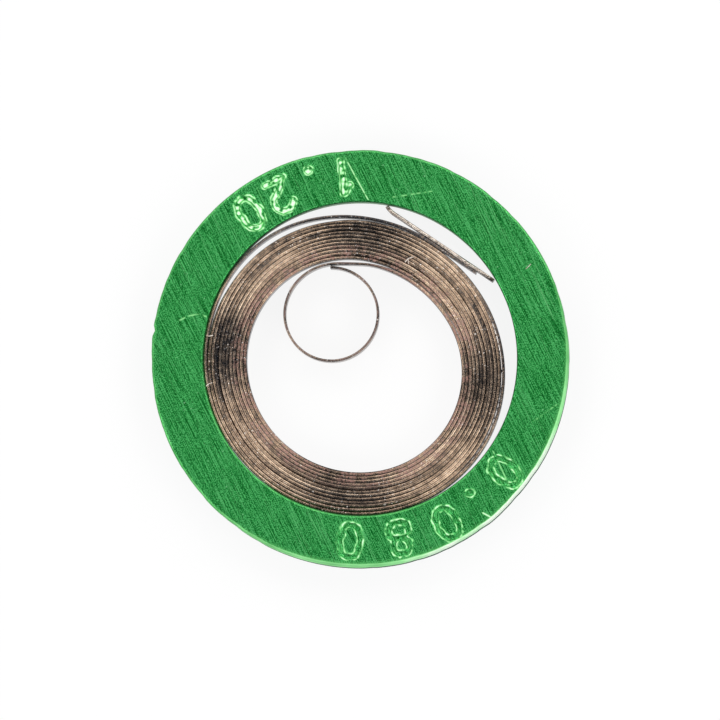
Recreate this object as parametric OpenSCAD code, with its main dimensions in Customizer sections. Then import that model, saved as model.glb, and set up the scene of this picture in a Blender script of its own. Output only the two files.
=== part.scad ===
// A watch mainspring, coiled in the flat ring that keeps it wound for storage, in millimetres.
// The spring is one thin steel strip: an eye at its inner end, turns packed into an oval that leans on the
// ring's wall, and an outer end with a short bridle welded to it.
// Origin at the centre of the ring's underside, +Z up along the ring's axis.

/* [Keeper ring] */
// Outside diameter of the ring
ring_od = 12; // [11:0.1:16]
// Bore that the coiled spring lies in
ring_bore = 9; // [8.4:0.1:10]
// Thickness of the ring
ring_h = 1.3; // [0.8:0.05:2]
// Bevel along the ring's four edges
ring_bevel = 0.08; // [0.02:0.01:0.2]

/* [Spring strip] */
// Thickness of the strip
strip_t = 0.08; // [0.06:0.005:0.1]
// Height of the strip, along the ring's axis
strip_h = 1.2; // [0.8:0.05:1.6]

/* [Coil] */
// Turns from the inner end to the outer one
turns = 12; // [8:1:13]
// Clear gap between neighbouring turns
turn_gap = 0.0225; // [0.02:0.0025:0.03]
// Clear gap between the ring's wall and what lies against it
wall_gap = 0.02; // [0.01:0.005:0.04]
// How far apart the centres of the coil's arcs stand, which makes the coil oval
squeeze = 0.345; // [0.25:0.005:0.4]
// Sweep of the oval's flattest side, in degrees
flat_sweep = 50; // [40:1:80]
// Extra room between the first turn and the second, at the eye's side
first_drop = 0.02; // [0:0.005:0.03]
// Turn of the whole spring about the ring's axis, in degrees
coil_turn = 8; // [-180:1:180]

/* [Inner end] */
// Diameter of the eye, which grips the barrel's arbor
eye_d = 2.6; // [2.2:0.05:2.8]
// Sweep of the eye's true circle, from the strip's tip, in degrees
eye_sweep = 288; // [275:1:295]
// Direction of the strip's tip from the eye's centre, in degrees
tip_at = 83; // [75:1:90]
// Direction at which the eye's lead-out meets the first turn, in degrees
lead_out_at = 97; // [90:1:105]
// Height of the slot that the arbor's hook catches in, and width of its round ends
hook_slot_h = 0.2; // [0.1:0.05:0.3]
// Straight run of that slot between its round ends
hook_slot_run = 0.1; // [0.05:0.05:0.2]
// Distance along the strip from its tip to the slot's middle
hook_slot_back = 0.8; // [0.5:0.05:1.5]

/* [Outer end] */
// Direction up to which the last turn follows the ring's wall, in degrees
wall_to = 147; // [142:1:148]
// How much tighter than the wall the last turn then bends
stand_off = 0.68; // [0.6:0.01:0.7]
// Direction at which it eases on to the weld, in degrees
ease_at = 98; // [96:1:101]
// Direction of the flat weld from the ring's axis, in degrees
weld_at = 48; // [45:1:50]
// Length of the flat weld
weld_l = 1.5; // [0.8:0.02:1.7]

/* [Bridle] */
// Thickness of the bridle
bridle_t = 0.1; // [0.06:0.01:0.14]
// Radius of the bend at the bridle's free tip
bend_r = 0.6; // [0.4:0.05:1.2]
// Sweep of that bend, in degrees
bend_sweep = 25; // [10:1:35]

/* [Hidden] */
$fa = 3;
$fs = 0.02;
// How far a cut reaches past the faces it opens
cut_over = 0.1;
// Gap between two stretches of a strip, which a joint disc fills
joint_gap = 0.01;
// Width of a joint disc, as a share of the strip's thickness
joint_share = 0.98;
// Widest step along the rim of a slice, in degrees
pie_step = 60;
// Radius of a slice, in radii of the stretch it cuts out
pie_reach = 2;

pitch = strip_t + turn_gap;
wall_r = ring_bore / 2 - wall_gap;
last_r = wall_r - strip_t / 2;

// Each turn of the oval is four arcs about four fixed centres: one that shares the ring's axis and follows
// its wall, a rounder one, the flat side, and a second rounder one. The strip runs clockwise outwards. Arcs
// meet in tangents, because two centres and the meeting point always lie on one line, and the centres'
// spacing makes each turn one pitch wider than the last.
flat_from = 45 + flat_sweep / 2;
flat_to = 45 - flat_sweep / 2;
growth = pitch / (1 + sin(flat_from) + cos(flat_from));
flat_step = (squeeze + growth * sin(flat_from)) / (sin(flat_from) - cos(flat_from));
return_step = flat_step - growth;
axis_step = flat_step * sin(flat_from) - return_step * cos(flat_from);

wall_c = [0, 0];
rise_c = [-squeeze, 0];
flat_c = rise_c - polar(flat_step, flat_from);
return_c = [0, -axis_step];

// The first turn steps in a little further, so that the eye's lead-out stands clear of the second turn.
first_step = axis_step + first_drop;
first_return_c = [0, -first_step];
first_flat_c = first_return_c - polar(return_step, flat_to);
first_rise_c = first_flat_c + polar(flat_step, flat_from);
first_return_r = turn_r(1) - first_step;
first_flat_r = first_return_r + return_step;
first_rise_r = first_flat_r - flat_step;

// The eye is a circle inside a slightly wider lead-out arc, which passes clear over the strip's tip.
eye_r = eye_d / 2 + strip_t / 2;
eye_to = tip_at - eye_sweep;
lead_out_r = eye_r + pitch / (1 - cos(eye_sweep));
lead_out_c = first_rise_c + polar(first_rise_r - lead_out_r, lead_out_at);
eye_c = lead_out_c + polar(lead_out_r - eye_r, eye_to);
hook_slot_at = tip_at - hook_slot_back / eye_r * 180 / PI;

// The outer end leaves the wall, bends back to the pack and runs out straight along the weld line.
flat_last_r = turn_r(turns - 1) - squeeze + flat_step;
pack_reach = flat_c * polar(1, weld_at) + flat_last_r + strip_t / 2;
weld_line = pack_reach + turn_gap + strip_t / 2;
tight_r = last_r - stand_off;
tight_c = polar(stand_off, wall_to);
ease_share = cos(ease_at - weld_at);
ease_r = (weld_line - stand_off * cos(wall_to - weld_at) - tight_r * ease_share) / (1 - ease_share);
ease_c = tight_c + polar(tight_r - ease_r, ease_at);
weld_from = ease_c * polar(1, weld_at - 90);

// The bridle lies on the weld face and reaches the ring's wall with both ends.
bridle_in = weld_line + strip_t / 2;
bridle_out = bridle_in + bridle_t;
bend_rise = bend_r * (1 - cos(bend_sweep));
bend_reach = bend_r * sin(bend_sweep);
bridle_back = sqrt(pow(wall_r, 2) - pow(bridle_out + bend_rise, 2)) - bend_reach;
bridle_fore = sqrt(pow(wall_r, 2) - pow(bridle_out, 2));

// A stretch is [centre, radius, angle where it starts, lower angle where it ends].
stretches = [
    [eye_c, eye_r, tip_at, eye_to],
    [lead_out_c, lead_out_r, eye_to + 360, lead_out_at],
    [first_rise_c, first_rise_r, lead_out_at, flat_from],
    [first_flat_c, first_flat_r, flat_from, flat_to],
    [first_return_c, first_return_r, flat_to, -90],
    [wall_c, turn_r(1), -90, -180],
    for (n = [2 : turns], stretch = turn_stretches(n)) stretch,
    [tight_c, tight_r, wall_to, ease_at],
    [ease_c, ease_r, ease_at, weld_at]
];

function polar(r, a) = [r * cos(a), r * sin(a)];

// Radius of a turn where it follows the wall
function turn_r(n) = last_r - (turns - n) * pitch;

// The four arcs of a turn after the first. The last turn stays on the wall for longer.
function turn_stretches(n) = [
    [rise_c, turn_r(n - 1) - squeeze, 180, flat_from],
    [flat_c, turn_r(n - 1) - squeeze + flat_step, flat_from, flat_to],
    [return_c, turn_r(n) - axis_step, flat_to, -90],
    [wall_c, turn_r(n), -90, n < turns ? -180 : wall_to - 360]
];

// A slice from one angle down to another, about the origin
module pie(r, from, to) {
    steps = ceil((from - to) / pie_step);
    polygon([[0, 0], for (k = [0 : steps]) polar(r, to + k * (from - to) / steps)]);
}

// A strip bent along a stretch, stopping half a joint short of both of its ends
module bent_strip(stretch, t) {
    trim = joint_gap / 2 / stretch[1] * 180 / PI;
    translate(stretch[0])
        intersection() {
            difference() {
                circle(stretch[1] + t / 2);
                circle(stretch[1] - t / 2);
            }
            pie(pie_reach * stretch[1], stretch[2] - trim, stretch[3] + trim);
        }
}

// A straight strip along X from one place to another, with its middle line at y
module straight_strip(from, to, y, t) {
    translate([from + joint_gap / 2, y - t / 2])
        square([to - from - joint_gap / 2, t]);
}

// A disc, a shade narrower than the strip, that makes two of its stretches one
module joint_disc(place, t) {
    translate(place)
        circle(d = joint_share * t);
}

// Frame of the weld: X along it, Y away from the ring's axis
module at_weld() {
    rotate(weld_at - 90)
        children();
}

// The slot for the arbor's hook, cut outwards through the eye's strip
module hook_slot() {
    translate(eye_c)
        rotate([0, 0, hook_slot_at])
            translate([eye_r - strip_t / 2 - cut_over, 0, strip_h / 2])
                rotate([90, 0, 90])
                    linear_extrude(strip_t + 2 * cut_over) {
                        square([hook_slot_run, hook_slot_h], center = true);
                        for (end = [-hook_slot_run / 2, hook_slot_run / 2])
                            translate([end, 0])
                                circle(d = hook_slot_h);
                    }
}

module keeper_ring() {
    inner = ring_bore / 2;
    outer = ring_od / 2;
    color("forestgreen")
        rotate_extrude()
            polygon([
                [inner + ring_bevel, 0], [outer - ring_bevel, 0],
                [outer, ring_bevel], [outer, ring_h - ring_bevel],
                [outer - ring_bevel, ring_h], [inner + ring_bevel, ring_h],
                [inner, ring_h - ring_bevel], [inner, ring_bevel]
            ]);
}

module mainspring() {
    color("dimgray")
        rotate([0, 0, coil_turn])
            difference() {
                linear_extrude(strip_h) {
                    for (stretch = stretches) {
                        bent_strip(stretch, strip_t);
                        joint_disc(stretch[0] + polar(stretch[1], stretch[3]), strip_t);
                    }
                    at_weld()
                        straight_strip(weld_from, weld_from + weld_l, weld_line, strip_t);
                }
                hook_slot();
            }
}

module end_bridle() {
    middle = bridle_in + bridle_t / 2;
    bend = [[-bridle_back, bridle_out + bend_r], bend_r + bridle_t / 2, -90, -90 - bend_sweep];
    color("rosybrown")
        rotate([0, 0, coil_turn])
            linear_extrude(strip_h)
                at_weld() {
                    bent_strip(bend, bridle_t);
                    joint_disc([-bridle_back, middle], bridle_t);
                    straight_strip(-bridle_back, bridle_fore, middle, bridle_t);
                }
}

keeper_ring();
mainspring();
end_bridle();
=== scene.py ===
"""Looks of a watch mainspring that is kept wound in its ring: fine meshes, materials, light and camera."""

import math

import bpy
import numpy as np
from mathutils import Matrix, Vector

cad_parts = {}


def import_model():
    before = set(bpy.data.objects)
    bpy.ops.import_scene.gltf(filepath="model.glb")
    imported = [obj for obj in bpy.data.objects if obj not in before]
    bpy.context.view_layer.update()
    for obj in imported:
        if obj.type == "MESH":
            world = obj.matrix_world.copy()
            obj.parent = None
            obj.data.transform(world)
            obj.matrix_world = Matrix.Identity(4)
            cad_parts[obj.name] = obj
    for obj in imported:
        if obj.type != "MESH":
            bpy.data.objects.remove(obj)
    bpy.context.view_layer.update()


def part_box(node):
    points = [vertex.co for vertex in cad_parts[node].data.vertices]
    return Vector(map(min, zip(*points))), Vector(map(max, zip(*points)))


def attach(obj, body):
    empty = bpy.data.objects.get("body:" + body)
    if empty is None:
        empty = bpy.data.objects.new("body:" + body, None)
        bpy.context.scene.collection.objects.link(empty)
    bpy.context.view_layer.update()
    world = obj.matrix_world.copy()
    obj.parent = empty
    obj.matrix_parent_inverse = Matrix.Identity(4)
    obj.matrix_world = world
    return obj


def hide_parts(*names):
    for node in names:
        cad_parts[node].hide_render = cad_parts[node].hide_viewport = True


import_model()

# Lengths are in millimetres and angles in degrees, as in the part's source. Meshes are written in metres.
MM = 0.001
SEED = 11

# The photograph, which gives the camera its place and the marks on the ring theirs
PHOTO_SIDE_PX = 720
PHOTO_BORE_PX = 313.68
PHOTO_RING_CENTRE_PX = (360.08, 358.64)
CAMERA_AWAY = 600
CAMERA_TILT = 2.0
CAMERA_SIDE = -60
CLIP_START = 10
SENSOR = 36

# Keeper ring
ring_low, ring_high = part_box("keeper_ring")
RING_R = (ring_high[0] - ring_low[0]) / 2 / MM
RING_H = (ring_high[2] - ring_low[2]) / MM
RING_BORE = 9
FACE_WIDTH = RING_R - RING_BORE / 2
EDGE_ROUND = 0.07

# The face's outer edge is rolled over about one side.
ROLL_ROUND = 0.12
ROLL_SIDE = -60
ROLL_SWEEP = 65

# How bare the outer edge is everywhere; how much paler it is where it is rolled, partly wear and partly a
# painted highlight; and a painted highlight about the side where it glares. Beside the roll the face has a
# painted highlight too. The bore's edge has a painted highlight about a side of its own.
EDGE_BARE = 0.3
ROLL_WEAR_AND_HIGHLIGHT = 0.3
GLARE_HIGHLIGHT = 0.4
GLARE_SIDE = -45
GLARE_SWEEP = 26
BARE_UNEVEN = 0.12
BARE_WAVES = (0.5, 4)
GLOW = 0.45
GLOW_WIDTH = 0.42
BORE_HIGHLIGHT = 0.3
BORE_SIDE = -110
BORE_SWEEP = 70

# The outer edge is sheared in waves, so many to a turn and lower the more there are, and has a nick. Waves
# stand out less far than they go in, and reach over a share of the face's width.
EDGE_WAVES = (3, 5, 8, 13, 21, 34, 55, 89)
EDGE_WAVE = 0.009
HALF_WAVE_AT = 30
EDGE_OUT = 0.003
EDGE_SHARE = 0.25
NICK_AT_PX = (152, 330)
NICK_DEPTH = 0.06
NICK_SWEEP = 1.0

# How finely the ring is meshed. Its sections stand closer together in the arcs that hold marks.
EDGE_STEPS = 6
TOP_ROWS = 54
UNDER_ROWS = 6
WALL_ROWS = 3
FINE_STEP = 0.25
COARSE_STEP = 0.75
MARKED_ARCS = [(64, 142), (160, 170), (-96, -34), (-21, -11)]

# Stamped figures: the strip's height and thickness, in plain numbers
MARK_HEIGHT = 0.92
STROKE = 0.14
STROKE_WALL = 0.04
STROKE_WANDER = 0.02
BED_UNEVEN = 0.2
BURR = 0.012
BURR_WIDTH = 0.05
BURR_BROKEN = 0.5
UNEVEN_WAVES = (0.15, 0.6)
BROKEN_WAVES = (0.1, 0.4)
PATCHY_WAVES = (0.12, 0.5)

# How bare the burrs, the figures' beds and the scratches are, and how much that changes along them
BURR_BARE = 0.72
BURR_LEAST = 0.15
BED_BARE = 0.75
BED_PATCHY = 0.9
SCRATCH_BARE = 0.8
SCRATCH_BROKEN = 0.6

# Spring strip, the same values as in the part's source
spring_low, spring_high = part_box("mainspring")
STRIP_H = (spring_high[2] - spring_low[2]) / MM
STRIP_T = 0.08
TURNS = 12
TURN_GAP = 0.0225
WALL_GAP = 0.02
SQUEEZE = 0.345
FLAT_SWEEP = 50
FIRST_DROP = 0.02
COIL_TURN = 8
EYE_D = 2.6
EYE_SWEEP = 288
TIP_AT = 83
LEAD_OUT_AT = 97
HOOK_SLOT_H = 0.2
HOOK_SLOT_RUN = 0.1
HOOK_SLOT_BACK = 0.8
WALL_TO = 147
STAND_OFF = 0.68
EASE_AT = 98
WELD_AT = 48
WELD_L = 1.5
BRIDLE_T = 0.1
BEND_R = 0.6
BEND_SWEEP = 25

# How finely the strips are meshed, and how unevenly the turns lie
STRIP_STEP = 2.0
STRAIGHT_STEP = 0.08
CROWN_STEPS = 8
CROWN_SLOPE = 0.72
CROWN_TILT = 0.006
TILT_WAVES = (3, 40)
BRIDLE_TILT_WAVES = (1, 3)
TURN_LIFT = 0.014
LIFT_WAVES = (6, 30)
SLOT_BLUNT = 0.025
SHARP_FROM = 50

# Real turns touch, so the strip is drawn thicker in the pack. It is drawn thinner in the eye, and as thick
# as in the part's source at its outer end and in the turn beside that. It shifts a little where the
# photograph shows how wide a sliver of floor is. Places along the coil are counted in turns from the eye.
PACKED_T = 0.102
PACKED_FROM = 0.235
PACKED_EASE = 0.05
EYE_THINNER = 0.01
FIRST_SHIFT = 0.02
FIRST_TO = 0.65
FIRST_EASE = 0.25
SAG = 0.04
SAG_FROM = 0.165
SAG_TO = 0.25
SLIM_FROM = 11.015
SLIM_TO = 11.21
SLIM_EASE = 0.03
BULGE = 0.025
BULGE_FROM = 11.4
BULGE_TO = 11.65
WALL_END = 12.02
WALL_EASE = 0.06
RISE = 0.035
RISE_FROM = WALL_END
RISE_TO = 12.26

# Painted dark reflection on the middle turns: each side of the coil that it darkens, its sweep and how
# strong it is there
DARK_REFLECTION_SIDES = [(92, 12, 0.5), (137, 10, 0.2), (177, 17, 1.0), (268, 13, 0.42), (358, 14, 0.45)]
DARK_REFLECTION_FROM = 2.2
DARK_REFLECTION_TO = 10.7
DARK_REFLECTION_EASE = 1.6


def sin(a):
    return math.sin(math.radians(a))


def cos(a):
    return math.cos(math.radians(a))


def polar(r, a):
    return np.array([r * cos(a), r * sin(a)])


def from_photo(px):
    """The place on the ring's face, in millimetres, that a pixel of the photograph shows."""
    scale = RING_BORE / PHOTO_BORE_PX
    return np.array([px[0] - PHOTO_RING_CENTRE_PX[0], PHOTO_RING_CENTRE_PX[1] - px[1]]) * scale


def smooth(x):
    """0 below 0, 1 above 1, and a smooth step between."""
    x = np.clip(x, 0, 1)
    return x * x * (3 - 2 * x)


def hump(x, start, end):
    """0 outside a range, and a smooth hump up to 1 at its middle."""
    return np.sin(math.pi * np.clip((x - start) / (end - start), 0, 1)) ** 2


def near_side(angles, side, sweep):
    """1 up to half a sweep away from a side, 0.5 at a sweep, and 0 from one and a half sweeps on."""
    return smooth(1.5 - np.abs((angles - side + 180) % 360 - 180) / sweep)


rng = np.random.default_rng(SEED)


class Ripple:
    """Smooth noise along a line or over a plan, mostly from -1 to 1: waves with lengths in a range."""

    def __init__(self, shortest, longest, waves=8):
        self.rate = 2 * math.pi / rng.uniform(shortest, longest, waves)
        self.phase = rng.uniform(0, 2 * math.pi, waves)
        self.heading = rng.uniform(0, 2 * math.pi, waves)

    def __call__(self, x):
        total = 0
        for rate, phase, heading in zip(self.rate, self.phase, self.heading):
            ahead = x if np.ndim(x) < 2 else x @ np.array([math.cos(heading), math.sin(heading)])
            total = total + np.sin(rate * ahead + phase)
        return total / math.sqrt(len(self.rate))


def new_piece(name, points, faces, node, layers=None):
    """A mesh object from points in millimetres. It rides on the part and may stand for a CAD node."""
    mesh = bpy.data.meshes.new(name)
    mesh.from_pydata((np.asarray(points) * MM).tolist(), [], faces)
    mesh.validate()
    for layer, values in (layers or {}).items():
        attribute = mesh.attributes.new(layer, "FLOAT", "POINT")
        attribute.data.foreach_set("value", np.asarray(values, dtype=np.float32))
    mesh.polygons.foreach_set("use_smooth", [True] * len(mesh.polygons))
    mesh.set_sharp_from_angle(angle=math.radians(SHARP_FROM))
    piece = bpy.data.objects.new(name, mesh)
    bpy.context.scene.collection.objects.link(piece)
    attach(piece, "root")
    if node:
        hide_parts(node)
    return piece


# Coil: the same arcs as in the part's source, each [centre, radius, angle where it starts, where it ends]

pitch = STRIP_T + TURN_GAP
wall_r = RING_BORE / 2 - WALL_GAP
last_r = wall_r - STRIP_T / 2
flat_from = 45 + FLAT_SWEEP / 2
flat_to = 45 - FLAT_SWEEP / 2
growth = pitch / (1 + sin(flat_from) + cos(flat_from))
flat_step = (SQUEEZE + growth * sin(flat_from)) / (sin(flat_from) - cos(flat_from))
return_step = flat_step - growth
axis_step = flat_step * sin(flat_from) - return_step * cos(flat_from)
weld_out = polar(1, WELD_AT)
weld_on = polar(1, WELD_AT - 90)


def turn_r(n):
    """Radius of a turn where it follows the wall."""
    return last_r - (TURNS - n) * pitch


def eye_stretches():
    """The eye, its lead-out and the first turn."""
    first_step = axis_step + FIRST_DROP
    return_c = np.array([0, -first_step])
    flat_c = return_c - polar(return_step, flat_to)
    rise_c = flat_c + polar(flat_step, flat_from)
    return_r = turn_r(1) - first_step
    flat_r = return_r + return_step
    rise_r = flat_r - flat_step
    eye_r = (EYE_D + STRIP_T) / 2
    eye_to = TIP_AT - EYE_SWEEP
    lead_out_r = eye_r + pitch / (1 - cos(EYE_SWEEP))
    lead_out_c = rise_c + polar(rise_r - lead_out_r, LEAD_OUT_AT)
    eye_c = lead_out_c + polar(lead_out_r - eye_r, eye_to)
    return [
        [eye_c, eye_r, TIP_AT, eye_to],
        [lead_out_c, lead_out_r, eye_to + 360, LEAD_OUT_AT],
        [rise_c, rise_r, LEAD_OUT_AT, flat_from],
        [flat_c, flat_r, flat_from, flat_to],
        [return_c, return_r, flat_to, -90],
        [np.zeros(2), turn_r(1), -90, -180],
    ]


def pack_stretches():
    """The turns after the first, and how far they reach towards the weld. The last turn stays on the ring's
    wall for longer."""
    rise_c = np.array([-SQUEEZE, 0])
    flat_c = rise_c - polar(flat_step, flat_from)
    return_c = np.array([0, -axis_step])
    made = []
    for n in range(2, TURNS + 1):
        rise_r = turn_r(n - 1) - SQUEEZE
        made += [
            [rise_c, rise_r, 180, flat_from],
            [flat_c, rise_r + flat_step, flat_from, flat_to],
            [return_c, turn_r(n) - axis_step, flat_to, -90],
            [np.zeros(2), turn_r(n), -90, -180 if n < TURNS else WALL_TO - 360],
        ]
    reach = flat_c @ weld_out + turn_r(TURNS - 1) - SQUEEZE + flat_step + STRIP_T / 2
    return made, reach


pack, pack_reach = pack_stretches()
weld_line = pack_reach + TURN_GAP + STRIP_T / 2


def outer_stretches():
    """The stand-off from the wall and the ease on to the weld."""
    tight_r = last_r - STAND_OFF
    tight_c = polar(STAND_OFF, WALL_TO)
    share = cos(EASE_AT - WELD_AT)
    ease_r = (weld_line - STAND_OFF * cos(WALL_TO - WELD_AT) - tight_r * share) / (1 - share)
    ease_c = tight_c + polar(tight_r - ease_r, EASE_AT)
    return [[tight_c, tight_r, WALL_TO, EASE_AT], [ease_c, ease_r, EASE_AT, WELD_AT]]


def bent_line(stretches):
    """Points, outward directions and degrees turned so far, along stretches that run on from each other."""
    points, outward, turned = [], [], []
    so_far = 0
    for centre, radius, start, end in stretches:
        steps = max(2, math.ceil((start - end) / STRIP_STEP))
        for k in range(steps):
            a = start + (end - start) * k / steps
            points.append(centre + polar(radius, a))
            outward.append(polar(1, a))
            turned.append(so_far + start - a)
        so_far += start - end
    return points, outward, turned


def straight_line(start, end):
    """Points from one place to another."""
    steps = math.ceil(np.linalg.norm(end - start) / STRAIGHT_STEP)
    return [start + (end - start) * k / steps for k in range(steps + 1)]


def turned_about_axis(points, a):
    """Plan points, turned about the ring's axis."""
    spin = np.array([[cos(a), -sin(a)], [sin(a), cos(a)]])
    return np.asarray(points) @ spin.T


def running_length(line):
    """How far along a line each of its points is."""
    steps = np.linalg.norm(np.diff(np.asarray(line), axis=0), axis=1)
    return np.concatenate([[0], np.cumsum(steps)])


def crown_drop(share):
    """How far the strip's edge falls from its middle to a share of its half thickness, in half thicknesses.
    The slope grows with the root of that share."""
    return CROWN_SLOPE * abs(share) ** 1.5 / 1.5


def strip_piece(name, line, outward, thickness, lift, tilt, node, layers, hook_slot=None):
    """A strip with crowned edges along a line in plan. lift and tilt raise each section and its outer side.
    hook_slot gives each section's half height of the slot through the strip, and the first and last section
    that it cuts."""
    line, outward = np.asarray(line), np.asarray(outward)
    count = len(line)
    half = np.broadcast_to(np.asarray(thickness) / 2, count)
    open_half, cut = hook_slot if hook_slot else (np.full(count, HOOK_SLOT_H / 2), None)
    middle = STRIP_H / 2
    shares = np.linspace(1, -1, CROWN_STEPS + 1)
    across = [half, half]
    height = [middle - open_half, middle + open_half]
    for share in shares:
        across.append(half * share)
        height.append(STRIP_H - half * crown_drop(share) + np.asarray(tilt) * share)
    across += [-half, -half]
    height += [middle + open_half, middle - open_half]
    for share in reversed(shares):
        across.append(half * share)
        height.append(half * crown_drop(share))
    loop = len(across)
    plan = line[:, None, :] + outward[:, None, :] * np.stack(across, axis=1)[:, :, None]
    rise = np.stack(height, axis=1) + np.asarray(lift)[:, None]
    points = np.concatenate([plan, rise[:, :, None]], axis=2).reshape(-1, 3)

    out_low, out_high = 0, 1
    in_high = CROWN_STEPS + 3
    in_low = in_high + 1

    def corner(i, j):
        return i * loop + j % loop

    def quad(i, j, k):
        return [corner(i, j), corner(i, k), corner(i + 1, k), corner(i + 1, j)]

    faces = [[corner(0, j) for j in reversed(range(loop))], [corner(count - 1, j) for j in range(loop)]]
    for i in range(count - 1):
        in_slot = cut is not None and cut[0] <= i < cut[1]
        for j in range(loop):
            if in_slot and j in (out_low, in_high):
                continue
            faces.append(quad(i, j, j + 1))
        if in_slot:
            faces += [quad(i, out_low, in_low), quad(i, in_high, out_high)]
    if cut is not None:
        wall = [out_low, out_high, in_high, in_low]
        faces.append([corner(cut[0], j) for j in wall])
        faces.append([corner(cut[1], j) for j in reversed(wall)])
    spread = {layer: np.repeat(values, loop) for layer, values in layers.items()}
    spread["across"] = (np.stack(across, axis=1) / half[:, None]).ravel()
    return new_piece(name, points, faces, node, spread)


def slot_opening(along):
    """Half the hook slot's height at each section, and the first and last section that it cuts. Its round
    ends are a little blunt, so that these sections keep some height."""
    from_middle = np.abs(along - HOOK_SLOT_BACK)
    round_end = np.clip(from_middle - HOOK_SLOT_RUN / 2, 0, HOOK_SLOT_H / 2)
    open_half = np.sqrt(np.maximum((HOOK_SLOT_H / 2) ** 2 - round_end**2, SLOT_BLUNT**2))
    in_slot = np.nonzero(from_middle < (HOOK_SLOT_RUN + HOOK_SLOT_H) / 2)[0]
    return open_half, (in_slot[0], in_slot[-1])


def drawn_strip(turn):
    """Thickness of the drawn strip and how far it is shifted outwards, at places in turns from the eye."""
    begun = smooth((turn - PACKED_FROM) / PACKED_EASE)
    slim = smooth((turn - SLIM_FROM) / SLIM_EASE) * smooth((SLIM_TO - turn) / SLIM_EASE)
    thicker = (PACKED_T - STRIP_T) * begun * smooth((WALL_END - turn) / WALL_EASE)
    thickness = STRIP_T + thicker * (1 - slim) - EYE_THINNER * (1 - begun)
    shift = FIRST_SHIFT * begun * smooth((FIRST_TO - turn) / FIRST_EASE)
    shift -= thicker / 2 * slim
    shift -= SAG * hump(turn, SAG_FROM, SAG_TO)
    shift += BULGE * hump(turn, BULGE_FROM, BULGE_TO)
    shift += RISE * hump(turn, RISE_FROM, RISE_TO)
    return thickness, shift


def dark_reflection_along(line, turn):
    """How strongly the painted dark reflection darkens each point of the coil."""
    sides = np.degrees(np.arctan2(line[:, 1], line[:, 0]))
    dark_reflection = sum(share * near_side(sides, side, sweep) for side, sweep, share in DARK_REFLECTION_SIDES)
    return dark_reflection * smooth((turn - DARK_REFLECTION_FROM) / DARK_REFLECTION_EASE) * smooth((DARK_REFLECTION_TO - turn) / DARK_REFLECTION_EASE)


def spring():
    """The spring's one strip, from the eye's tip to the end of the weld."""
    outer_end = outer_stretches()
    line, outward, turned = bent_line(eye_stretches() + pack + outer_end)
    ease_c, ease_r, _, _ = outer_end[-1]
    weld_from = ease_c + polar(ease_r, WELD_AT)
    run = straight_line(weld_from, weld_from + weld_on * WELD_L)
    line += run
    outward += [weld_out] * len(run)
    turned += [turned[-1]] * len(run)
    along = running_length(line)
    turn = (np.asarray(turned) - EYE_SWEEP) / 360
    lift = TURN_LIFT * smooth(0.5 + 0.5 * Ripple(*LIFT_WAVES)(along))
    tilt = CROWN_TILT * Ripple(*TILT_WAVES)(along)
    thickness, shift = drawn_strip(turn)
    line = turned_about_axis(np.asarray(line) + np.asarray(outward) * shift[:, None], COIL_TURN)
    return strip_piece(
        "spring_strip",
        line,
        turned_about_axis(outward, COIL_TURN),
        thickness,
        lift,
        tilt,
        "mainspring",
        {"along": along, "turn": turn, "dark_reflection": dark_reflection_along(line, turn)},
        slot_opening(along),
    )


def bridle_line():
    """Points and outward directions along the bridle, with X along the weld: a bend at its free tip, then a
    straight run."""
    inside = weld_line + STRIP_T / 2
    outside = inside + BRIDLE_T
    rise = BEND_R * (1 - cos(BEND_SWEEP))
    back = math.sqrt(wall_r**2 - (outside + rise) ** 2) - BEND_R * sin(BEND_SWEEP)
    fore = math.sqrt(wall_r**2 - outside**2)
    middle = inside + BRIDLE_T / 2
    bend_c = np.array([-back, outside + BEND_R])
    steps = math.ceil(BEND_SWEEP / STRIP_STEP)
    angles = [-90 - BEND_SWEEP * (1 - k / steps) for k in range(steps)]
    line = [bend_c + polar(BEND_R + BRIDLE_T / 2, a) for a in angles]
    outward = [-polar(1, a) for a in angles]
    run = straight_line(np.array([-back, middle]), np.array([fore, middle]))
    return line + run, outward + [np.array([0, 1])] * len(run)


def bridle():
    """The short strip on the spring's outer end. It counts as a middle turn, so it takes none of the looks
    of the coil's ends."""
    line, outward = bridle_line()
    along = running_length(line)
    to_weld = WELD_AT - 90 + COIL_TURN
    return strip_piece(
        "bridle_strip",
        turned_about_axis(line, to_weld),
        turned_about_axis(outward, to_weld),
        BRIDLE_T,
        np.zeros(len(line)),
        CROWN_TILT * Ripple(*BRIDLE_TILT_WAVES)(along),
        "end_bridle",
        {"along": along, "turn": np.full(len(line), TURNS / 2)},
    )


# Ring: a grid around the axis, fine where figures are stamped into its face

OVAL_POINTS = 97
OVAL_SQUARE = 0.85


def oval(centre, across, up):
    """Points of a closed, slightly squarish loop."""
    a = np.linspace(0, 360, OVAL_POINTS)
    c, s = np.cos(np.radians(a)), np.sin(np.radians(a))
    x = np.sign(c) * np.abs(c) ** OVAL_SQUARE
    y = np.sign(s) * np.abs(s) ** OVAL_SQUARE
    return np.stack([centre[0] + across * x, centre[1] + up * y], axis=1)


def figure(sign):
    """The middle lines of a figure's strokes, one high, about its middle."""
    if sign == "0":
        return [oval((0, 0), 0.31, 0.5)]
    if sign == "1":
        return [np.array([[-0.2, 0.28], [0.02, 0.5], [0.02, -0.5]])]
    if sign == "2":
        a = np.radians(np.linspace(170, -38, 40))
        bow = np.stack([0.3 * np.cos(a), 0.2 + 0.3 * np.sin(a)], axis=1)
        return [np.concatenate([bow, [[-0.3, -0.5], [0.32, -0.5]]])]
    if sign == "8":
        return [oval((0, 0.25), 0.25, 0.25), oval((0, -0.25), 0.31, 0.25)]
    return [oval((0, -0.4), 0.04, 0.04)]


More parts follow.
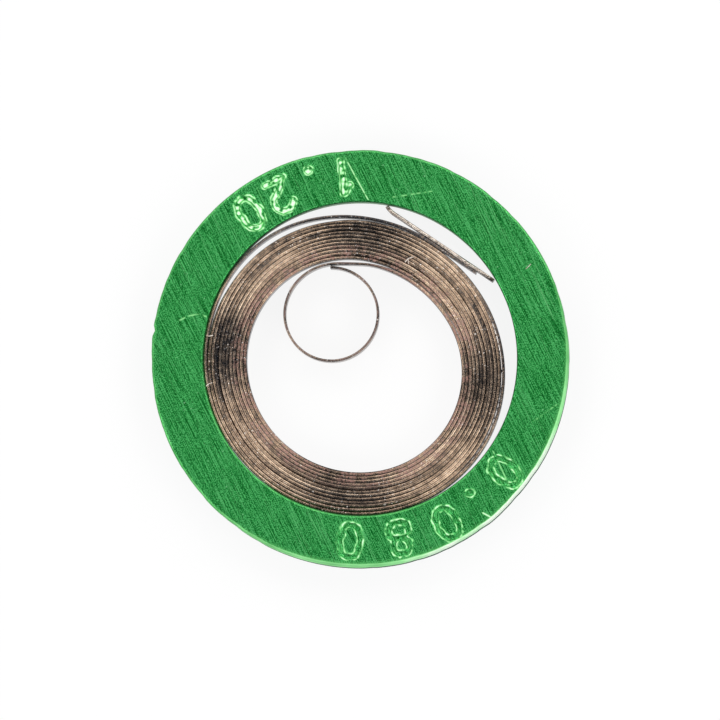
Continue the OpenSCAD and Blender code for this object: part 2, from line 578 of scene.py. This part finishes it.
# Each figure: its sign, its pixel in the photograph, whether its top is outwards, how deep it is struck and
# how bare its bed is
MARKS = [
    ("1", (343, 177), False, 0.05, 1.0),
    (".", (312, 183), False, 0.05, 1.0),
    ("2", (281, 196), False, 0.05, 1.0),
    ("0", (250, 213), False, 0.05, 1.0),
    ("0", (505, 472), True, 0.035, 0.2),
    (".", (478, 503), True, 0.035, 0.2),
    ("0", (447, 523), True, 0.035, 0.2),
    ("8", (400, 538), True, 0.035, 0.2),
    ("0", (350, 541), True, 0.035, 0.2),
]

# Each scratch: the pixels it runs through, its width and how pale it is
SCRATCHES = [
    ([(254.5, 182.5), (272.7, 223)], 0.02, 0.4),
    ([(320.5, 179.4), (321.2, 180.2)], 0.03, 0.6),
    ([(341, 150), (370, 203)], 0.022, 0.9),
    ([(393, 197), (433, 191)], 0.022, 0.7),
    ([(180, 320), (188, 316), (198, 314), (208, 317)], 0.03, 0.65),
    ([(483, 513), (492, 518)], 0.03, 1.0),
    ([(491, 447), (509, 485)], 0.022, 0.75),
    ([(534, 421), (559, 403)], 0.025, 0.55),
]


def away_from_line(points, corners):
    """Distance of each point from a line through corners."""
    nearest = np.full(len(points), np.inf)
    for start, end in zip(corners[:-1], corners[1:]):
        step = end - start
        share = np.clip((points - start) @ step / (step @ step), 0, 1)
        gap = np.linalg.norm(points - start - share[:, None] * step, axis=1)
        nearest = np.minimum(nearest, gap)
    return nearest


def stamp(points):
    """How far the figures sink or lift the face at plan points, and how bare they and scratches leave it."""
    lift = np.zeros(len(points))
    bare = np.zeros(len(points))
    uneven = Ripple(*UNEVEN_WAVES)(points)
    broken = Ripple(*BROKEN_WAVES)(points)
    patchy = Ripple(*PATCHY_WAVES)(points)
    for sign, px, top_out, depth, bed_bare in MARKS:
        place = from_photo(px)
        up = place / np.linalg.norm(place) * (1 if top_out else -1)
        right = np.array([up[1], -up[0]])
        near = np.nonzero(np.linalg.norm(points - place, axis=1) < MARK_HEIGHT)[0]
        local = (points[near] - place) @ np.stack([right, up], axis=1) / MARK_HEIGHT
        gap = np.min([away_from_line(local, corners) for corners in figure(sign)], axis=0) * MARK_HEIGHT
        gap = gap + STROKE_WANDER * uneven[near]
        bed = smooth((STROKE / 2 - gap) / STROKE_WALL)
        burr = np.exp(-(((gap - STROKE / 2 - BURR_WIDTH / 2) / (BURR_WIDTH / 2)) ** 2))
        lift[near] += BURR * burr * (1 + BURR_BROKEN * broken[near])
        lift[near] -= depth * bed * (1 + BED_UNEVEN * uneven[near])
        worn = burr * np.clip(BURR_BARE + BURR_BROKEN * broken[near], BURR_LEAST, 1)
        worn += bed_bare * bed * smooth(BED_BARE + BED_PATCHY * patchy[near])
        bare[near] = np.maximum(bare[near], np.minimum(worn, 1))
    for corners_px, width, pale in SCRATCHES:
        gap = away_from_line(points, [from_photo(px) for px in corners_px])
        worn = pale * np.exp(-((gap / width) ** 2)) * smooth(SCRATCH_BARE + SCRATCH_BROKEN * broken)
        bare = np.maximum(bare, worn)
    return lift, bare


def ring_angles():
    """Directions of the ring's sections, close together where its face is marked."""
    angles = []
    a = -180.0
    while a < 180 - COARSE_STEP / 2:
        angles.append(a)
        marked = any(start <= a < end for start, end in MARKED_ARCS)
        a += FINE_STEP if marked else COARSE_STEP
    return np.array(angles)


def ring_profile(roll):
    """Radius and height around one section, from the face's inner edge outwards and back underneath. roll
    is the radius of the face's outer edge."""
    inner, outer = RING_BORE / 2, RING_R
    rounding = [90 - 90 * k / EDGE_STEPS for k in range(1, EDGE_STEPS)]
    back = rounding[::-1]
    corner_out, corner_in = outer - EDGE_ROUND, inner + EDGE_ROUND
    top, bottom = RING_H - EDGE_ROUND, EDGE_ROUND
    profile = [(r, RING_H) for r in np.linspace(corner_in, outer - roll, TOP_ROWS + 1)]
    profile += [(outer - roll * (1 - cos(a)), RING_H - roll * (1 - sin(a))) for a in rounding]
    profile += [(outer, z) for z in np.linspace(RING_H - roll, bottom, WALL_ROWS + 1)]
    profile += [(corner_out + EDGE_ROUND * cos(a), bottom - EDGE_ROUND * sin(a)) for a in back]
    profile += [(r, 0) for r in np.linspace(corner_out, corner_in, UNDER_ROWS + 1)]
    profile += [(corner_in - EDGE_ROUND * cos(a), bottom - EDGE_ROUND * sin(a)) for a in rounding]
    profile += [(inner, z) for z in np.linspace(bottom, top, WALL_ROWS + 1)]
    profile += [(corner_in - EDGE_ROUND * cos(a), top + EDGE_ROUND * sin(a)) for a in back]
    return profile


def edge_wave(angles):
    """How far each section's outer edge stands out of round."""
    around = np.radians(angles)
    wave = np.zeros(len(angles))
    for waves in EDGE_WAVES:
        phase = rng.uniform(0, 2 * math.pi)
        wave += EDGE_WAVE / (1 + waves / HALF_WAVE_AT) * np.sin(waves * around + phase)
    nick = from_photo(NICK_AT_PX)
    nick_at = math.degrees(math.atan2(nick[1], nick[0]))
    wave -= NICK_DEPTH * np.exp(-(((angles - nick_at) / NICK_SWEEP) ** 2))
    return np.minimum(wave, EDGE_OUT)


def ring():
    """The ring with its uneven sheared edge, which is rolled over on one side, and the stamped figures."""
    angles = ring_angles()
    around = np.radians(angles)
    rolled = near_side(angles, ROLL_SIDE, ROLL_SWEEP)
    profiles = np.array([ring_profile(EDGE_ROUND + (ROLL_ROUND - EDGE_ROUND) * share) for share in rolled])
    radius, height = profiles[:, :, 0], profiles[:, :, 1]
    loop = radius.shape[1]
    face = slice(0, TOP_ROWS + 1)
    edge = slice(TOP_ROWS + 1, TOP_ROWS + EDGE_STEPS + 1)
    outside = slice(TOP_ROWS + EDGE_STEPS, TOP_ROWS + EDGE_STEPS + WALL_ROWS + 1)
    bore_edge = slice(loop - EDGE_STEPS + 1, loop)

    at_edge = smooth(1 - (RING_R - radius) / (EDGE_SHARE * FACE_WIDTH))
    radius += at_edge * edge_wave(angles)[:, None]
    x = radius * np.cos(around)[:, None]
    y = radius * np.sin(around)[:, None]
    plan = np.stack([x[:, face].ravel(), y[:, face].ravel()], axis=1)
    lift, bare = stamp(plan)
    height[:, face] += lift.reshape(len(angles), -1)
    points = np.stack([x, y, height], axis=2).reshape(-1, 3)

    scuff = np.zeros_like(radius)
    scuff[:, face] = bare.reshape(len(angles), -1)
    uneven = 1 + BARE_UNEVEN * Ripple(*BARE_WAVES)(around * RING_R)
    glare = near_side(angles, GLARE_SIDE, GLARE_SWEEP)
    glow = smooth(1 - (RING_R - radius[:, face]) / GLOW_WIDTH) ** 2
    # Painted highlights: the face's glow beside the roll, the glare side of the outer edge and one side of
    # the bore's edge. The outer edge is also worn pale all round.
    rim = np.zeros_like(radius)
    rim[:, face] = GLOW * rolled[:, None] * glow
    rim[:, edge] = ((EDGE_BARE + ROLL_WEAR_AND_HIGHLIGHT * rolled + GLARE_HIGHLIGHT * glare) * uneven)[:, None]
    rim[:, bore_edge] = (BORE_HIGHLIGHT * near_side(angles, BORE_SIDE, BORE_SWEEP) * uneven)[:, None]
    # The outer wall is painted dark: a painted shade, not the wall's own colour.
    wall = np.zeros_like(radius)
    wall[:, outside] = 1
    layers = {"scuff": scuff.ravel(), "rim": rim.ravel(), "wall": wall.ravel()}

    faces = []
    for i in range(len(angles)):
        here, there = i * loop, (i + 1) % len(angles) * loop
        for j in range(loop):
            k = (j + 1) % loop
            faces.append([here + j, here + k, there + k, there + j])
    return new_piece("ring_body", points, faces, "keeper_ring", layers)


# Lint: each fibre's pixels in the photograph and how thick it is. It lies on the spring or on the ring.
LINT = [
    ([(405, 262), (408, 258.5), (411, 257.5), (415, 256)], 0.03),
    ([(408, 258.5), (408.5, 264)], 0.025),
    ([(206, 335), (209, 336), (213, 335)], 0.03),
    ([(206, 386), (209, 383.5), (212, 382.5)], 0.03),
    ([(290, 289.5), (291, 287), (293, 285)], 0.03),
    ([(526, 269), (531, 264)], 0.02),
]
LINT_SIDES = 6
LINT_SINK = 0.01


def lint():
    """Loose fibres, as thin tubes that lie on the faces below them."""
    points, faces = [], []
    for corners_px, thick in LINT:
        line = np.array([from_photo(px) for px in corners_px])
        on_ring = np.linalg.norm(line[0]) > RING_BORE / 2
        middle_z = (RING_H if on_ring else STRIP_H) + thick / 2 - LINT_SINK
        loops = []
        for k, place in enumerate(line):
            ahead = line[min(k + 1, len(line) - 1)] - line[max(k - 1, 0)]
            sideways = np.array([-ahead[1], ahead[0]]) / np.linalg.norm(ahead)
            loops.append(list(range(len(points), len(points) + LINT_SIDES)))
            for n in range(LINT_SIDES):
                off = polar(thick / 2, n * 360 / LINT_SIDES)
                points.append([*(place + sideways * off[0]), middle_z + off[1]])
        for near, far in zip(loops[:-1], loops[1:]):
            for n in range(LINT_SIDES):
                m = (n + 1) % LINT_SIDES
                faces.append([near[n], near[m], far[m], far[n]])
        faces += [loops[0][::-1], loops[-1]]
    return new_piece("lint_fibres", points, faces, None)


# Materials

class Shader:
    """A material whose nodes are made one call at a time."""

    def __init__(self, name):
        self.material = bpy.data.materials.new(name)
        self.material.use_nodes = True
        self.tree = self.material.node_tree
        self.surface = self.tree.nodes["Principled BSDF"]

    def node(self, kind, inputs=None, **settings):
        made = self.tree.nodes.new(kind)
        for key, value in settings.items():
            setattr(made, key, value)
        for socket, value in (inputs or {}).items():
            self.feed(made.inputs[socket], value)
        return made

    def feed(self, socket, value):
        if isinstance(value, bpy.types.NodeSocket):
            self.tree.links.new(value, socket)
        else:
            socket.default_value = value

    def math(self, operation, *values):
        return self.node("ShaderNodeMath", dict(enumerate(values)), operation=operation).outputs[0]

    def times(self, first, *others):
        """The product of values."""
        for value in others:
            first = self.math("MULTIPLY", first, value)
        return first

    def most(self, first, *others):
        """The largest of values."""
        for value in others:
            first = self.math("MAXIMUM", first, value)
        return first

    def total(self, *parts):
        """The sum of values, each times its weight."""
        first, *others = [self.times(value, weight) for value, weight in parts]
        for value in others:
            first = self.math("ADD", first, value)
        return first

    def span(self, value, low, high, to_low=0.0, to_high=1.0):
        inputs = {"Value": value, "From Min": low, "From Max": high, "To Min": to_low, "To Max": to_high}
        return self.node("ShaderNodeMapRange", inputs).outputs["Result"]

    def after(self, value, change, share=1.0):
        """0 before a change, which is a start and an end, and a share after it."""
        return self.span(value, change[0], change[1], 0.0, share)

    def before(self, value, change, share=1.0):
        """A share before a change, and 0 after it."""
        return self.span(value, change[1], change[0], 0.0, share)

    def place(self, per_mm, turn=0):
        """The point on the object, turned about Z, in steps of so many to a millimetre along each axis."""
        where = self.node("ShaderNodeTexCoord").outputs["Object"]
        inputs = {"Vector": where, "Angle": math.radians(turn)}
        turned = self.node("ShaderNodeVectorRotate", inputs, rotation_type="Z_AXIS").outputs[0]
        scale = [n / MM for n in per_mm]
        return self.node("ShaderNodeVectorMath", {0: turned, 1: scale}, operation="MULTIPLY").outputs[0]

    def noise(self, vector, detail=2.0, roughness=0.5):
        inputs = {"Vector": vector, "Scale": 1.0, "Detail": detail, "Roughness": roughness}
        return self.node("ShaderNodeTexNoise", inputs).outputs["Fac"]

    def spots(self, per_mm, detail=2.0, roughness=0.5):
        """Noise that is alike in all directions, of so many spots to a millimetre."""
        return self.noise(self.place((per_mm, per_mm, per_mm)), detail, roughness)

    def layer(self, name):
        return self.node("ShaderNodeAttribute", attribute_name=name).outputs["Fac"]

    def ramp(self, factor, *stops):
        made = self.node("ShaderNodeValToRGB", {"Fac": factor})
        elements = made.color_ramp.elements
        while len(elements) < len(stops):
            elements.new(0.5)
        for element, (position, colour) in zip(elements, stops):
            element.position = position
            element.color = (*colour, 1)
        return made.outputs["Color"]

    def mix(self, factor, a, b):
        made = self.node("ShaderNodeMix", data_type="RGBA")
        colours = [socket for socket in made.inputs if socket.type == "RGBA"]
        self.feed(made.inputs["Factor"], factor)
        for socket, value in zip(colours, (a, b)):
            self.feed(socket, value if isinstance(value, bpy.types.NodeSocket) else (*value, 1))
        return next(socket for socket in made.outputs if socket.type == "RGBA")

    def bump(self, height, distance):
        return self.node("ShaderNodeBump", {"Height": height, "Distance": distance * MM}).outputs["Normal"]

    def finish(self, **inputs):
        for socket, value in inputs.items():
            self.feed(self.surface.inputs[socket.replace("_", " ")], value)
        return self.material


# Green aluminium: the directions of its grain and its hair scratches, and its colours. A list of colours
# runs from dark to pale, each with its place on the scale.
GRAIN = 63.5
HAIR_GRAIN = 65.5
GREENS = [(0.446, (0.002, 0.11, 0.013)), (0.5, (0.0125, 0.29, 0.048)), (0.552, (0.115, 0.61, 0.175))]
HAIR_GREEN = (0.2, 0.68, 0.25)
DOT_GREEN = (0.3, 0.75, 0.36)
# Pale greens of bare metal, also used for the painted highlights along the ring's edges
BARE_AND_HIGHLIGHT_GREENS = [(0.3, (0.14, 0.58, 0.16)), (0.7, (0.38, 0.93, 0.38)), (1.0, (0.86, 1.0, 0.82))]
# The outer wall's painted shade
WALL_SHADE_GREEN = (0.03, 0.09, 0.048)


def green_aluminium():
    """Green anodised aluminium, brushed in one direction, with pale burrs where it was struck, painted
    highlights along its edges and a painted shade on its outer wall.
    """
    s = Shader("green_anodised_aluminium")
    fine = s.noise(s.place((0.8, 40, 40), GRAIN), 2.0, 0.7)
    broad = s.noise(s.place((0.25, 5, 5), GRAIN))
    streak = s.total((fine, 0.94), (broad, 0.06))
    speck = s.spots(36, 1.0, 0.6)
    colour = s.ramp(s.total((streak, 0.54), (speck, 0.46)), *GREENS)
    hair = s.noise(s.place((0.4, 28, 28), HAIR_GRAIN))
    colour = s.mix(s.span(hair, 0.63, 0.72, 0.0, 0.55), colour, HAIR_GREEN)
    colour = s.mix(s.span(s.spots(10, 1.0), 0.73, 0.78, 0.0, 0.6), colour, DOT_GREEN)
    scuff = s.times(s.layer("scuff"), s.span(s.spots(12, 3.0), 0.15, 0.4))
    # The rim layer is partly wear and partly painted highlight.
    bare = s.most(scuff, s.layer("rim"))
    colour = s.mix(s.span(bare, 0.1, 0.5), colour, s.ramp(bare, *BARE_AND_HIGHLIGHT_GREENS))
    # Painted shade on the outer wall
    wall = s.layer("wall")
    colour = s.mix(wall, colour, WALL_SHADE_GREEN)
    dull = s.most(s.span(bare, 0.2, 0.9), wall)
    return s.finish(
        Base_Color=colour,
        Metallic=s.span(dull, 0.0, 1.0, 0.75, 0.05),
        Roughness=s.most(s.span(streak, 0.35, 0.65, 0.5, 0.32), s.times(wall, 0.9)),
        Specular_IOR_Level=0.2,
        Normal=s.bump(s.total((fine, 0.6), (speck, 0.4)), 0.009),
    )


# Where the coil's looks change, in turns from the eye: the start and the end of each change
EYE_ENDS = (0.2, 0.3)
RUST_ENDS = (3.0, 5.5)
# The outermost turn's slate grey is a painted dark reflection.
SLATE_REFLECTION_BEGINS = (11.32, 11.4)
SLATE_REFLECTION_ENDS = (11.48, 11.58)
# A painted highlight line along the outermost turn
HIGHLIGHT_LINE_BEGINS = (11.38, 11.41)
HIGHLIGHT_LINE_ENDS = (11.52, 11.58)
PACK_ENDS = (WALL_END - 0.05, WALL_END)
CLEAR_BEGINS = (WALL_END, WALL_END + 0.05)
# Colour of the painted dark reflection on the middle turns
DARK_REFLECTION_COLOUR = (0.026, 0.027, 0.031)
GLINT_COLOUR = (0.9, 0.85, 0.8)


def steel(name, dark, middle, pale, red, grey, length=None):
    """Spring steel: edges with streaks along the strip, painted shade along their sides where the turns
    meet, and bright painted glints. The coil has a painted dark reflection on some sides, rust on its inner
    turns, grey where it stands clear of the pack (partly a painted dark reflection), a painted dark
    reflection along its outermost turn, and a painted highlight line there. A strip whose length is given is
    dark at both ends, partly from wear and partly a painted shadow."""
    s = Shader(name)
    along, turn, across = s.layer("along"), s.layer("turn"), s.layer("across")
    side = s.math("ABSOLUTE", across)
    lane = s.node("ShaderNodeCombineXYZ", {"X": s.times(along, 0.3), "Y": s.times(turn, 1.7)}).outputs[0]
    streak = s.noise(lane, 3.0, 0.6)
    speck = s.spots(26, 2.0, 0.6)
    blotch = s.spots(5, 2.0, 0.6)
    tone = s.total((streak, 0.45), (speck, 0.3), (blotch, 0.25))
    colour = s.ramp(tone, (0.39, dark), (0.5, middle), (0.61, pale))
    # Painted dark reflection on some sides of the middle turns
    dark_reflection = s.times(s.layer("dark_reflection"), s.span(blotch, 0.36, 0.62, 0.9, 0.4))
    colour = s.mix(dark_reflection, colour, DARK_REFLECTION_COLOUR)
    patch = s.times(s.before(turn, RUST_ENDS), s.span(s.spots(3), 0.41, 0.51))
    rust = s.times(patch, s.span(s.spots(17), 0.4, 0.55, 0.0, 0.95))
    colour = s.mix(rust, colour, red)
    # Grey where the strip stands clear of the pack, at its outer end partly a painted dark reflection. Along
    # the outermost turn the grey is a painted dark reflection.
    slate_reflection = s.times(s.after(turn, SLATE_REFLECTION_BEGINS), s.before(turn, SLATE_REFLECTION_ENDS, 0.7))
    clear = s.most(s.before(turn, EYE_ENDS, 0.6), s.after(turn, CLEAR_BEGINS, 0.9), slate_reflection)
    colour = s.mix(clear, colour, s.mix(s.span(speck, 0.5, 0.72), grey, middle))
    packed = s.times(s.after(turn, EYE_ENDS), s.before(turn, PACK_ENDS))
    # Painted shade along the strip's sides, where the turns meet in the pack
    groove_shade = s.times(s.span(side, 0.55, 0.85), s.span(streak, 0.65, 0.4, 0.6, 1.0))
    colour = s.mix(s.times(groove_shade, packed), colour, dark)
    if length:
        # The dark ends are partly wear and dark end faces, and partly a painted contact shadow.
        from_end = s.math("MINIMUM", along, s.math("SUBTRACT", length, along))
        worn = s.times(s.span(from_end, 0.8, 0.2), s.span(speck, 0.56, 0.42))
        flecks = s.span(speck, 0.44, 0.38, 0.0, 0.8)
        colour = s.mix(s.most(s.span(from_end, 0.16, 0.1), worn, flecks), colour, dark)
    # Painted highlight line along the outermost turn
    highlight_line = s.times(s.after(turn, HIGHLIGHT_LINE_BEGINS), s.before(turn, HIGHLIGHT_LINE_ENDS))
    highlight_line = s.times(highlight_line, s.span(across, -0.45, -0.7), s.span(s.spots(9, 1.0), 0.4, 0.5))
    glint = s.times(s.span(s.spots(22, 1.0), 0.68, 0.75), s.span(s.spots(2), 0.42, 0.58))
    glint = s.times(s.most(glint, highlight_line), s.span(side, 1.0, 0.94))
    colour = s.mix(glint, colour, GLINT_COLOUR)
    return s.finish(
        Base_Color=colour,
        Metallic=s.span(s.most(glint, rust), 0.0, 1.0, 1.0, 0.2),
        Roughness=s.span(speck, 0.3, 0.7, 0.18, 0.34),
        Normal=s.bump(speck, 0.003),
    )


def lint_fibre():
    """Pale, slightly stained fibre."""
    s = Shader("lint_fibre")
    return s.finish(
        Base_Color=s.ramp(s.spots(9), (0.35, (0.5, 0.4, 0.32)), (0.6, (0.85, 0.78, 0.7))),
        Roughness=0.8,
    )


def floor_white():
    """A white floor that keeps the part's shadow: nearly white by itself where it is seen, and whiter where
    light falls on it."""
    s = Shader("white_floor")
    path = s.node("ShaderNodeLightPath").outputs
    seen = s.most(path["Is Camera Ray"], path["Is Glossy Ray"], path["Is Transmission Ray"])
    lit = s.ramp(s.spots(0.6, 1.0), (0.3, (0.78, 0.78, 0.78)), (0.7, (0.8, 0.8, 0.8)))
    return s.finish(
        Base_Color=s.mix(seen, lit, (0.11, 0.11, 0.11)),
        Roughness=0.9,
        Specular_IOR_Level=0.0,
        Emission_Color=(0.885, 0.885, 0.885, 1),
        Emission_Strength=seen,
    )


ring_piece = ring()
spring_piece = spring()
bridle_piece = bridle()
lint_piece = lint()
lint_piece.data.materials.append(lint_fibre())
ring_piece.data.materials.append(green_aluminium())
spring_piece.data.materials.append(
    steel(
        "brown_spring_steel",
        dark=(0.034, 0.031, 0.029),
        middle=(0.272, 0.191, 0.132),
        pale=(0.58, 0.44, 0.32),
        red=(0.34, 0.19, 0.15),
        grey=(0.06, 0.063, 0.07),
    )
)
bridle_piece.data.materials.append(
    steel(
        "pale_spring_steel",
        dark=(0.1, 0.08, 0.065),
        middle=(0.5, 0.43, 0.37),
        pale=(0.85, 0.78, 0.7),
        red=(0.32, 0.24, 0.19),
        grey=(0.25, 0.22, 0.2),
        length=running_length(bridle_line()[0])[-1],
    )
)


# Floor, light and camera

FLOOR_REACH = 400
LAMP_AWAY = 150
LAMP_RISE = 45
LAMP_WIDE = 104
LAMP_TALL = 100
LAMP_WATTS = 0.0795
LAMP_COLOUR = (1.0, 0.96, 0.91)
WORLD_COLOUR = (0.125, 0.16, 0.215)

# Each lamp: the side it stands on and how strong it is
LAMPS = [(46, 1.13), (119, 1.08), (208, 1.1), (318, 1.15)]


def floor():
    reach = FLOOR_REACH * MM
    mesh = bpy.data.meshes.new("floor")
    corners = [(-reach, -reach, 0), (reach, -reach, 0), (reach, reach, 0), (-reach, reach, 0)]
    mesh.from_pydata(corners, [], [[0, 1, 2, 3]])
    made = bpy.data.objects.new("floor", mesh)
    made.data.materials.append(floor_white())
    bpy.context.scene.collection.objects.link(made)


def lamp(name, side, watts):
    """A soft lamp that stands on a side of the part and shines down at it."""
    data = bpy.data.lights.new(name, "AREA")
    data.shape = "RECTANGLE"
    data.size = LAMP_WIDE * MM
    data.size_y = LAMP_TALL * MM
    data.energy = watts
    data.color = LAMP_COLOUR
    made = bpy.data.objects.new(name, data)
    bpy.context.scene.collection.objects.link(made)
    x, y = polar(LAMP_AWAY * cos(LAMP_RISE), side)
    made.location = Vector((x, y, LAMP_AWAY * sin(LAMP_RISE))) * MM
    made.rotation_euler = (math.radians(90 - LAMP_RISE), 0, math.radians(side + 90))


def camera():
    """The photograph's camera, nearly above the part, with +Y upwards in its picture."""
    target = Vector((*from_photo((PHOTO_SIDE_PX / 2, PHOTO_SIDE_PX / 2)), RING_H))
    sideways = polar(CAMERA_AWAY * sin(CAMERA_TILT), CAMERA_SIDE)
    place = target + Vector((*sideways, CAMERA_AWAY * cos(CAMERA_TILT)))
    back = (place - target).normalized()
    right = Vector((0, 1, 0)).cross(back).normalized()
    turn = Matrix((right, back.cross(right), back)).transposed()
    data = bpy.data.cameras.new("camera")
    data.sensor_width = SENSOR
    data.lens = SENSOR * CAMERA_AWAY / (PHOTO_SIDE_PX * RING_BORE / PHOTO_BORE_PX)
    data.clip_start = CLIP_START * MM
    made = bpy.data.objects.new("camera", data)
    bpy.context.scene.collection.objects.link(made)
    made.matrix_world = Matrix.Translation(place * MM) @ turn.to_4x4()
    bpy.context.scene.camera = made


def world():
    made = bpy.data.worlds.new("studio")
    made.use_nodes = True
    made.node_tree.nodes["Background"].inputs["Color"].default_value = (*WORLD_COLOUR, 1)
    bpy.context.scene.world = made


floor()
for number, (side, share) in enumerate(LAMPS):
    lamp(f"softbox_{number + 1}", side, LAMP_WATTS * share)
camera()
world()
bpy.context.scene.view_settings.view_transform = "Standard"
